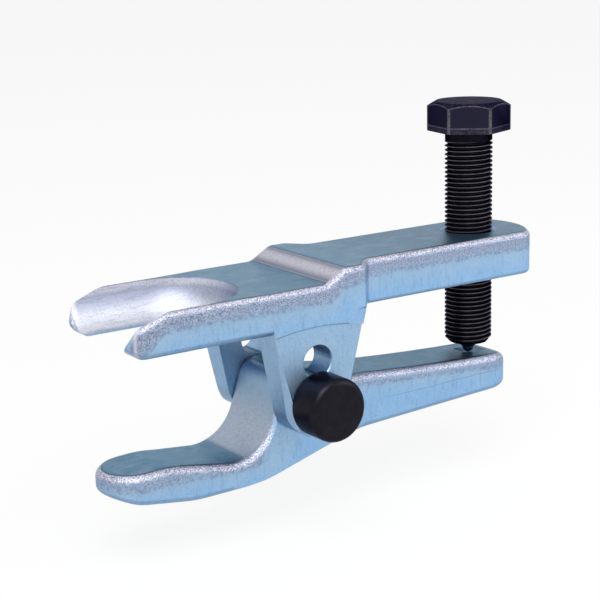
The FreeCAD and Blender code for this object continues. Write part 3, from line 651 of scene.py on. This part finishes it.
def black_finish(colours, sizes):
    """Blackened steel with bare crests on the thread, partly a painted highlight, and worn edges
    on the head, with a painted reflection of the arm low on its sides.
    """
    finish = Finish("blackened_steel", Metallic=1.0, Specular_Tint=BLACK_GRAZE)
    zones, rise, band = BlackZones, finish.rise, finish.band
    smudge = finish.noise(scale=260, detail=3, roughness=0.6)
    speck = finish.noise(scale=2400, detail=2, roughness=0.6)
    seat = SCREW_HIGH.z - sizes.head_height
    corner = sizes.across_flats / math.sqrt(3)
    reach = finish.distance(finish.x - SCREW_X, finish.y)
    height = finish.z - seat
    past_crown = reach - sizes.crown_radius

    on_head = rise(height, *zones.head)
    upright = rise(abs(finish.up), *Facing.head_side) * on_head
    off_bevel = abs(sizes.head_height - past_crown * HEAD_SLOPE - height)
    arch = rise(off_bevel, *zones.bevel_edge) * upright
    angle = rise(corner - reach, *zones.corner_edge) * upright
    # A lighter band low on the head's sides: a painted reflection of the arm, partly speckled as
    # if worn.
    low_wear_and_reflection = rise(height, *zones.low_wear_and_reflection) * rise(speck, 0.4, 0.6) * 0.35
    foot = finish.largest(band(height, *zones.arm_reflection_ring) * 0.8, low_wear_and_reflection) * upright
    crown = (band(past_crown, *zones.crown_edge) * on_head
             * rise(finish.up, *Facing.head_crown) * 0.35)
    edge = finish.largest(finish.largest(arch, angle), finish.largest(foot, crown))
    edge = edge * rise(speck, 0.30, 0.52)
    # Thread crests: partly worn bare, partly a painted highlight.
    crest = band(reach, *zones.crest) * rise(height + sizes.neck, *zones.thread)
    # Worn edges, and crests that are partly a painted highlight.
    wear_and_highlight = finish.largest(crest * (0.25 + smudge * 1.05), edge * (0.25 + smudge * 0.9))

    skin = finish.layers(
        colours.black,
        (rise(smudge, 0.4, 0.7) * 0.5, colours.black_smudge),
        (on_head * 0.65, colours.black_head),
        (rise(finish.up, *Facing.head_top) * on_head * 0.6, colours.black_top),
        (rise(speck, 0.60, 0.74) * 0.3, colours.black_dust),
        (wear_and_highlight, colours.worn),
    )
    bump = finish.relief(speck * 0.6 + smudge * 0.4, BLACK_RELIEF)
    return finish.set(Base_Color=skin, Roughness=0.34 + smudge * 0.16, Normal=bump)


def knob_finish(colours):
    """Black turned steel: fine rings round the pin's axis under a satin black skin."""
    finish = Finish("blackened_pin_steel", Metallic=1.0, Specular_Tint=KNOB_GRAZE,
                    Coat_Weight=0.2, Coat_Roughness=0.3)
    zones, rise = BlackZones, finish.rise
    smudge = finish.noise(scale=300, detail=3, roughness=0.6)
    speck = finish.noise(scale=2600, detail=2, roughness=0.6)
    reach = finish.distance(finish.x, finish.z - PIN_Z)
    turns = reach * zones.ring_marks + finish.y * zones.spiral_marks
    rings = turns.maths("SINE", turns)
    shank = rise(reach, *zones.shank) * rise(finish.y, *zones.knob_end)
    skin = finish.layers(
        colours.black,
        (rise(smudge, 0.42, 0.7) * 0.6, colours.knob_smudge),
        (rise(speck, 0.62, 0.74) * 0.25, colours.knob_dust),
        (shank * 0.75, colours.worn),
    )
    bump = finish.relief(rings * 0.12 + speck * 0.5, STEEL_RELIEF)
    return finish.set(Base_Color=skin, Roughness=0.34 + smudge * 0.12, Normal=bump)


def steel_finish(name, colour_of_steel, tarnish):
    """Plain hardened steel with fine marks and a little tarnish."""
    finish = Finish(name, Metallic=1.0)
    smudge = finish.noise(scale=500, detail=3, roughness=0.6)
    marks = finish.noise(scale=2000, detail=2, roughness=0.6, stretch=(1, 1, 4))
    skin = finish.blend(finish.rise(smudge, 0.4, 0.7) * 0.5, colour_of_steel, tarnish)
    bump = finish.relief(marks, STEEL_RELIEF)
    return finish.set(Base_Color=skin, Roughness=0.26 + smudge * 0.2, Normal=bump)


def dress(thing, material):
    """Give a piece its material, in place of any it had."""
    thing.data.materials.clear()
    thing.data.materials.append(material)


def soften(corners):
    """Turn corners (along, up, radius) into points, each radius drawn as a short arc."""
    points = []
    for number, corner in enumerate(corners):
        here = Vector(corner[:2])
        radius = corner[2] if len(corner) > 2 else 0
        if not radius:
            points.append(here)
            continue
        back = (Vector(corners[number - 1][:2]) - here).normalized()
        ahead = (Vector(corners[number + 1][:2]) - here).normalized()
        half = back.angle(ahead) / 2
        middle = here + (back + ahead).normalized() * radius / math.sin(half)
        start = here + back * radius / math.tan(half) - middle
        swing = start.angle_signed(here + ahead * radius / math.tan(half) - middle)
        for step in range(ARC_STEPS + 1):
            turned = start.copy()
            turned.rotate(Matrix.Rotation(-swing * step / ARC_STEPS, 2))
            points.append(middle + turned)
    return points


def draw_outline(name, points):
    """Draw a chain of edges through the points and stay in edit mode."""
    bpy.ops.object.select_all(action="DESELECT")
    bpy.ops.mesh.primitive_plane_add(size=MM, location=(0, 0, 0))
    thing = bpy.context.object
    thing.name = name
    bpy.ops.object.mode_set(mode="EDIT")
    bpy.ops.mesh.select_all(action="SELECT")
    bpy.ops.mesh.merge(type="CENTER")
    bpy.ops.transform.translate(value=points[0])
    for last, point in zip(points, points[1:]):
        bpy.ops.mesh.extrude_vertices_move(TRANSFORM_OT_translate={"value": point - last})
    return thing


def tidy_skin():
    """In edit mode: close the seams and poles, and turn every face outwards."""
    bpy.ops.mesh.select_all(action="SELECT")
    bpy.ops.mesh.remove_doubles(threshold=SKIN_WELD)
    bpy.ops.mesh.normals_make_consistent(inside=False)
    bpy.ops.object.mode_set(mode="OBJECT")


def turn_on_lathe(name, points, centre, axis, steps):
    """Spin a half section once round an axis into a closed body."""
    thing = draw_outline(name, points)
    bpy.ops.mesh.select_all(action="SELECT")
    bpy.ops.mesh.spin(steps=steps, angle=2 * math.pi, center=centre, axis=axis)
    tidy_skin()
    return thing


def apply_modifier(thing, kind, **settings):
    """Add one modifier, set it and apply it."""
    bpy.ops.object.select_all(action="DESELECT")
    bpy.context.view_layer.objects.active = thing
    thing.select_set(True)
    bpy.ops.object.modifier_add(type=kind)
    modifier = thing.modifiers[-1]
    for key, value in settings.items():
        setattr(modifier, key, value)
    bpy.ops.object.modifier_apply(modifier=modifier.name)


def join(parts, name):
    """Join several meshes into one piece with smooth faces and crisp edges."""
    bpy.ops.object.select_all(action="DESELECT")
    for part in parts:
        part.select_set(True)
    bpy.context.view_layer.objects.active = parts[0]
    bpy.ops.object.join()
    bpy.ops.object.transform_apply(location=True, rotation=True, scale=True)
    bpy.ops.object.shade_smooth_by_angle(angle=SMOOTH_ANGLE)
    parts[0].name = name
    return parts[0]


def cut_level(height, keep_above):
    """In edit mode: cut the mesh at a height, close the cut and keep one side."""
    bpy.ops.mesh.select_all(action="SELECT")
    bpy.ops.mesh.bisect(plane_co=(SCREW_X, 0, height), plane_no=(0, 0, 1), use_fill=True,
                        clear_inner=keep_above, clear_outer=not keep_above)


def make_thread(sizes):
    """One tooth of thread, swept up a helix, cut square and bevelled at its end."""
    end = SCREW_LOW.z
    top = SCREW_HIGH.z - sizes.head_height - sizes.neck
    root = sizes.thread_radius - sizes.depth
    crest = sizes.pitch * CREST_SHARE / 2
    hollow = sizes.pitch * ROOT_SHARE / 2
    start = end - 2 * sizes.pitch
    tooth = [(root, 0), (root, hollow), (sizes.thread_radius, sizes.pitch / 2 - crest),
             (sizes.thread_radius, sizes.pitch / 2 + crest), (root, sizes.pitch - hollow),
             (root, sizes.pitch)]
    points = [Vector((along, 0, up)) for along, up in tooth]
    thread = draw_outline("thread", points)
    bpy.ops.object.mode_set(mode="OBJECT")
    turns = math.ceil((top - start) / sizes.pitch) + 2
    apply_modifier(thread, "SCREW", axis="Z", screw_offset=sizes.pitch, iterations=turns,
                   steps=sizes.steps, render_steps=sizes.steps)
    thread.location = (SCREW_X, 0, start)
    bpy.ops.object.transform_apply(location=True, rotation=True, scale=True)
    bpy.ops.object.mode_set(mode="EDIT")
    bpy.ops.mesh.select_all(action="SELECT")
    bpy.ops.mesh.remove_doubles(threshold=THREAD_WELD)
    cut_level(end, True)
    cut_level(top, False)
    bpy.ops.mesh.select_all(action="SELECT")
    bpy.ops.mesh.normals_make_consistent(inside=False)
    shape = bmesh.from_edit_mesh(thread.data)
    for vertex in shape.verts:
        across = Vector((vertex.co.x - SCREW_X, vertex.co.y))
        widest = sizes.thread_radius - sizes.end_chamfer + max(0, vertex.co.z - end)
        widest = min(widest, sizes.thread_radius - sizes.runout + max(0, top - vertex.co.z))
        if across.length > widest:
            across = across.normalized() * widest
            vertex.co.x = SCREW_X + across.x
            vertex.co.y = across.y
    bmesh.update_edit_mesh(thread.data)
    bpy.ops.object.mode_set(mode="OBJECT")
    return thread


def make_neck(sizes):
    """The plain neck, filleted into the underside of the head."""
    seat = SCREW_HIGH.z - sizes.head_height
    radius = sizes.thread_radius - sizes.runout
    low = seat - sizes.neck - sizes.neck_lap
    high = seat + sizes.collar_height
    section = soften([(0, low), (radius, low), (radius, seat, sizes.neck_fillet),
                      (radius + sizes.collar, seat), (radius + sizes.collar, high), (0, high)])
    points = [Vector((SCREW_X + along, 0, up)) for along, up in section]
    return turn_on_lathe("neck", points, (SCREW_X, 0, 0), (0, 0, 1), sizes.steps)


def make_head(sizes):
    """The hexagon head: a prism bevelled by a cone above and a slighter one below."""
    seat = SCREW_HIGH.z - sizes.head_height
    corner = sizes.across_flats / math.sqrt(3)
    bpy.ops.object.select_all(action="DESELECT")
    bpy.ops.mesh.primitive_cylinder_add(
        vertices=6, radius=corner, depth=sizes.head_height,
        location=(SCREW_X, 0, seat + sizes.head_height / 2),
        rotation=(0, 0, sizes.turn - math.pi / 6))
    head = bpy.context.object
    bpy.ops.object.transform_apply(location=True, rotation=True, scale=True)
    outside = corner + MARGIN
    lower = corner - sizes.underside
    top = SCREW_HIGH.z
    section = [(0, seat - MARGIN), (lower - MARGIN, seat - MARGIN), (lower, seat),
               (outside, seat + (outside - lower) * HEAD_SLOPE),
               (outside, top - (outside - sizes.crown_radius) * HEAD_SLOPE),
               (sizes.crown_radius, top), (sizes.crown_radius - MARGIN, top + MARGIN),
               (0, top + MARGIN)]
    points = [Vector((SCREW_X + along, 0, up)) for along, up in section]
    cone = turn_on_lathe("head_cone", points, (SCREW_X, 0, 0), (0, 0, 1),
                         ROUND_STEPS)
    apply_modifier(head, "BOOLEAN", operation="INTERSECT", solver="EXACT", object=cone)
    bpy.data.objects.remove(cone)
    apply_modifier(head, "BEVEL", width=sizes.edge, segments=EDGE_STEPS, limit_method="ANGLE",
                   angle_limit=SHARP_ANGLE)
    return head


class SEPARATOR_OT_plate_forgings(Operator):
    """Give the forked arm and the pressure lever their zinc plate"""

    bl_idname = "separator.plate_forgings"
    bl_label = "Plate the forgings"

    def execute(self, context):
        colours = context.scene.separator.finish
        dress(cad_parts["fork_arm"], arm_finish(colours))
        dress(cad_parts["pressure_lever"], lever_finish(colours))
        return {"FINISHED"}


class SEPARATOR_OT_build_screw(Operator):
    """Model the forcing screw with its helical thread, neck and hexagon head"""

    bl_idname = "separator.build_screw"
    bl_label = "Build the forcing screw"

    def execute(self, context):
        settings = context.scene.separator
        parts = [make_thread(settings.screw), make_neck(settings.screw), make_head(settings.screw)]
        screw = join(parts, "forcing_screw_threaded")
        dress(screw, black_finish(settings.finish, settings.screw))
        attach(screw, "screw")
        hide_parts("forcing_screw")
        return {"FINISHED"}


class SEPARATOR_OT_build_pin(Operator):
    """Model the pivot pin with its round knob and ring groove"""

    bl_idname = "separator.build_pin"
    bl_label = "Build the pivot pin"

    def execute(self, context):
        settings = context.scene.separator
        sizes = settings.pin
        outer = PIN_LOW.y
        seat = outer + sizes.knob_length
        groove_end = sizes.groove_start + sizes.groove_width
        end = PIN_HIGH.y
        section = soften([
            (0, outer + sizes.dip),
            (sizes.knob_radius * sizes.dip_floor, outer + sizes.dip, sizes.knob_edge),
            (sizes.knob_radius * sizes.dip_edge, outer),
            (sizes.knob_radius, outer, sizes.knob_rounding),
            (sizes.knob_radius, seat, sizes.knob_edge),
            (sizes.shank_radius, seat),
            (sizes.shank_radius, sizes.groove_start, sizes.groove_edge),
            (sizes.groove_radius, sizes.groove_start, sizes.groove_fillet),
            (sizes.groove_radius, groove_end, sizes.groove_fillet),
            (sizes.shank_radius, groove_end, sizes.groove_edge),
            (sizes.shank_radius, end - sizes.end_chamfer, sizes.end_edge),
            (sizes.shank_radius - sizes.end_chamfer, end, sizes.end_edge),
            (0, end),
        ])
        points = [Vector((along, up, PIN_Z)) for along, up in section]
        body = turn_on_lathe("pin_body", points, (0, 0, PIN_Z), (0, 1, 0), ROUND_STEPS)
        pin = join([body], "pivot_pin_turned")
        dress(pin, knob_finish(settings.finish))
        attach(pin, "pin")
        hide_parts("pivot_pin")
        return {"FINISHED"}


class SEPARATOR_OT_finish_small_parts(Operator):
    """Give the pressure tip and the spring ring their plain steel"""

    bl_idname = "separator.finish_small_parts"
    bl_label = "Finish the small parts"

    def execute(self, context):
        colours = context.scene.separator.finish
        for node, shade in (("pressure_tip", colours.tip), ("pin_snap_ring", colours.steel)):
            dress(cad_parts[node], steel_finish(f"{node}_steel", shade, colours.tarnish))
        return {"FINISHED"}


def aim(thing, target):
    """Turn a lamp so that it faces a point."""
    thing.rotation_euler = (Vector(target) - thing.location).to_track_quat("-Z", "Y").to_euler()


def add_lamp(name, place, width, energy):
    """Hang a square lamp that faces the tool."""
    bpy.ops.object.select_all(action="DESELECT")
    bpy.ops.object.light_add(type="AREA", location=place)
    lamp = bpy.context.object
    lamp.name = name
    lamp.data.shape = "SQUARE"
    lamp.data.size = width
    lamp.data.energy = energy
    aim(lamp, LAMP_TARGET)


def add_camera():
    """The view from the fork's side, a little above the tool."""
    turn, pitch, roll = (math.radians(angle) for angle in CAMERA_ANGLES)
    ahead = Vector((math.sin(turn) * math.cos(pitch), math.cos(turn) * math.cos(pitch),
                    -math.sin(pitch)))
    right = Vector((math.cos(turn), -math.sin(turn), 0))
    up = right.cross(ahead)
    side = right * math.cos(roll) + up * math.sin(roll)
    top = up * math.cos(roll) - right * math.sin(roll)
    bpy.ops.object.camera_add()
    camera = bpy.context.object
    axes = Matrix((side, top, -ahead)).transposed()
    camera.matrix_world = Matrix.Translation(CAMERA_PLACE) @ axes.to_4x4()
    camera.data.sensor_width = CAMERA_SENSOR
    camera.data.lens = CAMERA_LENS
    camera.data.clip_start = CAMERA_NEAR
    bpy.context.scene.camera = camera


def seen_rays(nodes, links):
    """1 for the rays that show the background: camera, glossy and transmission."""
    path = nodes.new("ShaderNodeLightPath")
    seen = path.outputs["Is Camera Ray"]
    for kind in ("Is Glossy Ray", "Is Transmission Ray"):
        either = nodes.new("ShaderNodeMath")
        either.operation = "MAXIMUM"
        links.new(seen, either.inputs[0])
        links.new(path.outputs[kind], either.inputs[1])
        seen = either.outputs[0]
    return seen


def light_world(level):
    """Even light all around, and plain white where the background is seen."""
    world = bpy.data.worlds.new("studio")
    bpy.context.scene.world = world
    world.use_nodes = True
    nodes = world.node_tree.nodes
    links = world.node_tree.links
    light = nodes["Background"]
    light.inputs["Strength"].default_value = level
    light.inputs["Color"].default_value = (1, 1, 1, 1)
    white = nodes.new("ShaderNodeBackground")
    white.inputs["Color"].default_value = (1, 1, 1, 1)
    mix = nodes.new("ShaderNodeMixShader")
    links.new(seen_rays(nodes, links), mix.inputs[0])
    links.new(light.outputs[0], mix.inputs[1])
    links.new(white.outputs[0], mix.inputs[2])
    links.new(mix.outputs[0], nodes["World Output"].inputs[0])


def floor_finish(colour_of_floor):
    """A pale floor that shows white and keeps a faint shadow."""
    material = bpy.data.materials.new("pale_floor")
    material.use_nodes = True
    nodes = material.node_tree.nodes
    links = material.node_tree.links
    matt = nodes["Principled BSDF"]
    matt.inputs["Base Color"].default_value = (*colour_of_floor, 1)
    matt.inputs["Roughness"].default_value = FLOOR_ROUGHNESS
    matt.inputs["Specular IOR Level"].default_value = 0
    white = nodes.new("ShaderNodeEmission")
    part = nodes.new("ShaderNodeMath")
    part.operation = "MULTIPLY"
    part.inputs[1].default_value = FLOOR_WHITE
    links.new(seen_rays(nodes, links), part.inputs[0])
    mix = nodes.new("ShaderNodeMixShader")
    links.new(part.outputs[0], mix.inputs[0])
    links.new(matt.outputs[0], mix.inputs[1])
    links.new(white.outputs[0], mix.inputs[2])
    links.new(mix.outputs[0], nodes["Material Output"].inputs[0])
    return material


class SEPARATOR_OT_set_stage(Operator):
    """Lay the pale floor, hang the lamps and place the camera"""

    bl_idname = "separator.set_stage"
    bl_label = "Set the stage"

    def execute(self, context):
        levels = context.scene.separator.studio
        bpy.ops.object.select_all(action="DESELECT")
        height = CAD_BOX[0][2] - levels.drop
        bpy.ops.mesh.primitive_plane_add(size=FLOOR_WIDTH, location=(0, 0, height))
        floor = context.object
        floor.name = "floor"
        floor.data.materials.append(floor_finish(levels.floor))
        light_world(levels.world)
        add_lamp("key_lamp", KEY_PLACE, levels.key_width, levels.key)
        add_lamp("fill_lamp", FILL_PLACE, levels.fill_width, levels.fill)
        add_camera()
        context.scene.view_settings.view_transform = "Standard"
        return {"FINISHED"}


class SEPARATOR_PT_build(Panel):
    """Lists the steps that dress the separator"""

    bl_label = "Ball joint separator"
    bl_idname = "SEPARATOR_PT_build"
    bl_space_type = "VIEW_3D"
    bl_region_type = "UI"
    bl_category = "Separator"

    def draw(self, context):
        for step in STEPS:
            self.layout.operator(step.bl_idname)
        settings = context.scene.separator
        for group in (settings.screw, settings.pin, settings.finish, settings.studio):
            box = self.layout.box()
            for name in group.bl_rna.properties.keys():
                if name not in ("rna_type", "name"):
                    box.prop(group, name)


STEPS = (
    SEPARATOR_OT_plate_forgings,
    SEPARATOR_OT_build_screw,
    SEPARATOR_OT_build_pin,
    SEPARATOR_OT_finish_small_parts,
    SEPARATOR_OT_set_stage,
)
GROUPS = (ScrewSizes, PinSizes, FinishColours, StudioLevels, SeparatorSettings)


def register():
    for item in (*GROUPS, *STEPS, SEPARATOR_PT_build):
        bpy.utils.register_class(item)
    bpy.types.Scene.separator = PointerProperty(type=SeparatorSettings)


def unregister():
    del bpy.types.Scene.separator
    for item in reversed((*GROUPS, *STEPS, SEPARATOR_PT_build)):
        bpy.utils.unregister_class(item)


def main():
    register()
    bpy.ops.separator.plate_forgings()
    bpy.ops.separator.build_screw()
    bpy.ops.separator.build_pin()
    bpy.ops.separator.finish_small_parts()
    bpy.ops.separator.set_stage()


if __name__ == "__main__":
    main()
